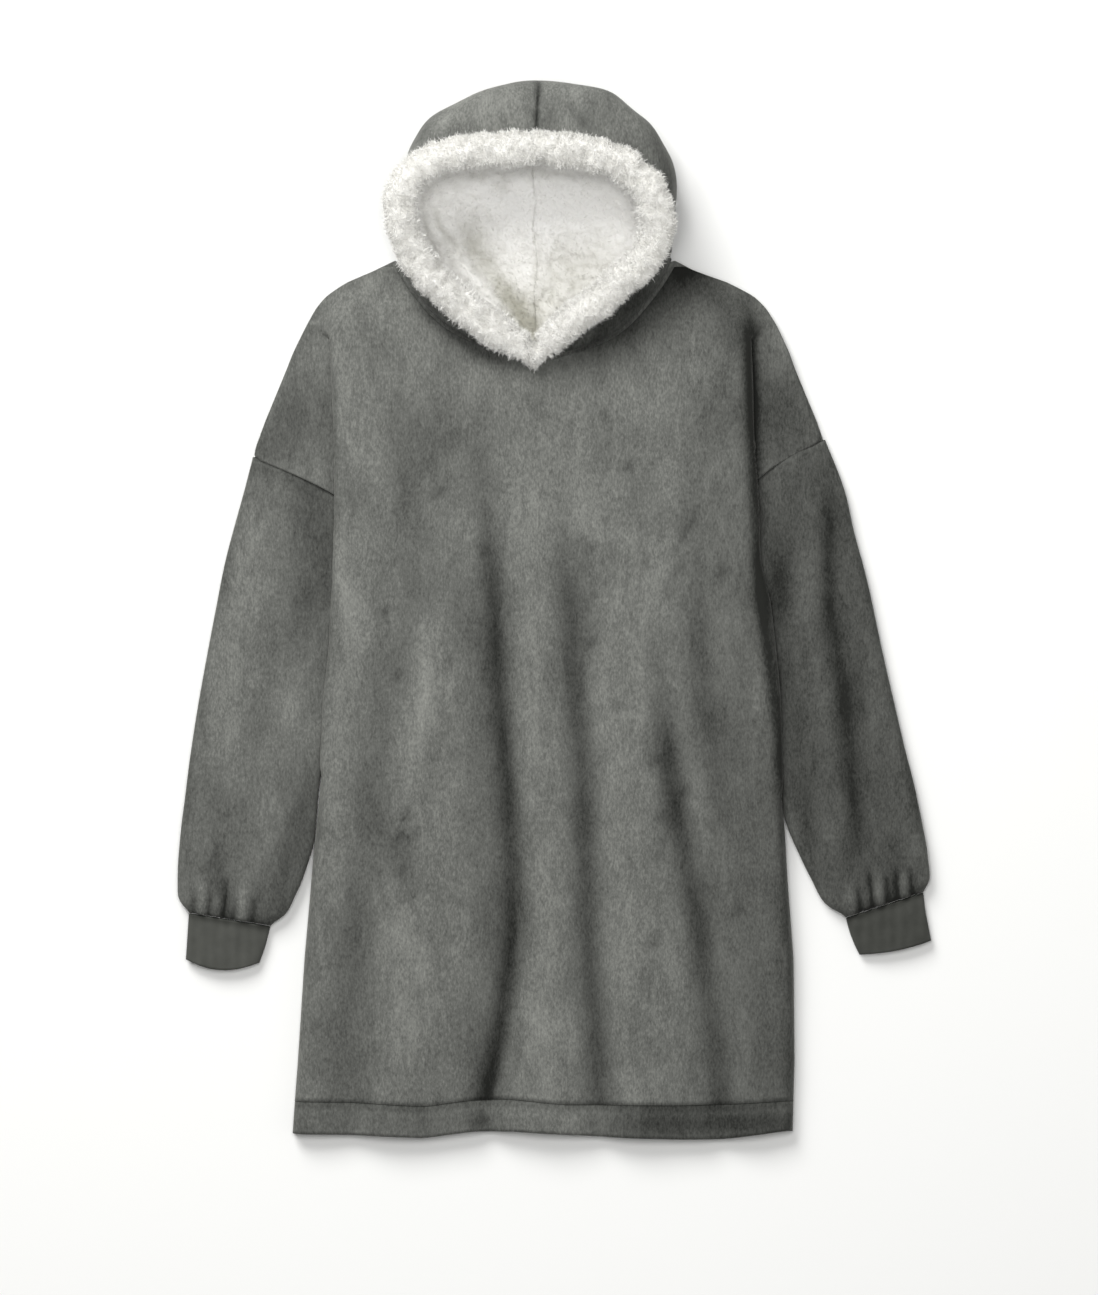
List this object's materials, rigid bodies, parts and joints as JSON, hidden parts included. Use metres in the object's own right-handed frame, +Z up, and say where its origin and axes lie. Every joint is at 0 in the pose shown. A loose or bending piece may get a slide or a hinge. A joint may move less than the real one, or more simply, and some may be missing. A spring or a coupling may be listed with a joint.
{
  "type": "wearable blanket hoodie",
  "caption": "Oversized plush pullover hoodie laid flat on its back, with drop sleeves, knit cuffs, a hem band and a sherpa-lined hood held open.",
  "frame": {"origin": "middle of the flat-laid garment's footprint, on the surface it lies on", "axes": "+X towards the wearer's left (right in the picture), +Y from the hem to the hood, +Z up from the surface the back lies on"},
  "size_m": [0.755, 1.0558, 0.1008],
  "materials": {
    "plush_cloth": "short plush pile, matt",
    "knit_cloth": "fine stretch knit, matt",
    "sherpa_cloth": "curly off-white fleece"
  },
  "bodies": {
    "root": {"front_panel": "plush_cloth", "back_panel": "plush_cloth", "hem_band_front": "plush_cloth", "hem_band_back": "plush_cloth", "sleeve_right": "plush_cloth", "sleeve_left": "plush_cloth", "cuff_right": "knit_cloth", "cuff_left": "knit_cloth", "hood_right": "plush_cloth", "hood_left": "plush_cloth", "hood_lining_right": "sherpa_cloth", "hood_lining_left": "sherpa_cloth", "hood_trim_right": "sherpa_cloth", "hood_trim_left": "sherpa_cloth"}
  },
  "joints": []
}
